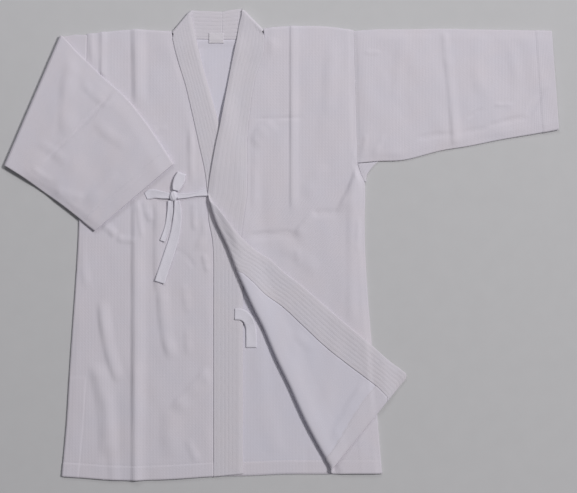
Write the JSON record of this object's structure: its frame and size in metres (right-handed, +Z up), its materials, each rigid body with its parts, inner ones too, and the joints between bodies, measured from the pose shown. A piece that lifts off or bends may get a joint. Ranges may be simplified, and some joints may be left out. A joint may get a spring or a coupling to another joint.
{
  "type": "martial arts training jacket",
  "caption": "White woven-cotton training jacket laid flat: quilted crossover collar, wide sleeves, one folded over the chest, ties knotted, one front turned back.",
  "frame": {"origin": "middle of the laid-out jacket's outline, on the surface it lies on", "axes": "+X towards the wearer's left sleeve, +Y from the hem to the neck, +Z up from the surface, on the side with the open front"},
  "size_m": [0.9962, 0.8468, 0.0164],
  "materials": {
    "body_cotton": "off-white cotton with a fine raised rice-grain weave, matt",
    "collar_cotton": "off-white cotton in several layers, quilted along its length, matt",
    "tie_ribbon": "bluish-white woven tape, slightly smoother than the body",
    "label_cloth": "plain woven label, left bare"
  },
  "bodies": {
    "root": {"back_panel": "body_cotton", "front_under": "body_cotton", "front_over": "body_cotton", "sleeve_left": "body_cotton", "sleeve_right": "body_cotton", "gusset_left": "body_cotton", "gusset_right": "body_cotton", "collar_under": "collar_cotton", "collar_over": "collar_cotton", "tie_band_right": "tie_ribbon", "tie_band_left": "tie_ribbon", "tie_knot": "tie_ribbon", "tie_loop": "tie_ribbon", "tie_tail_long": "tie_ribbon", "tie_tail_short": "tie_ribbon", "inner_tie": "tie_ribbon", "neck_label": "label_cloth"}
  },
  "joints": []
}
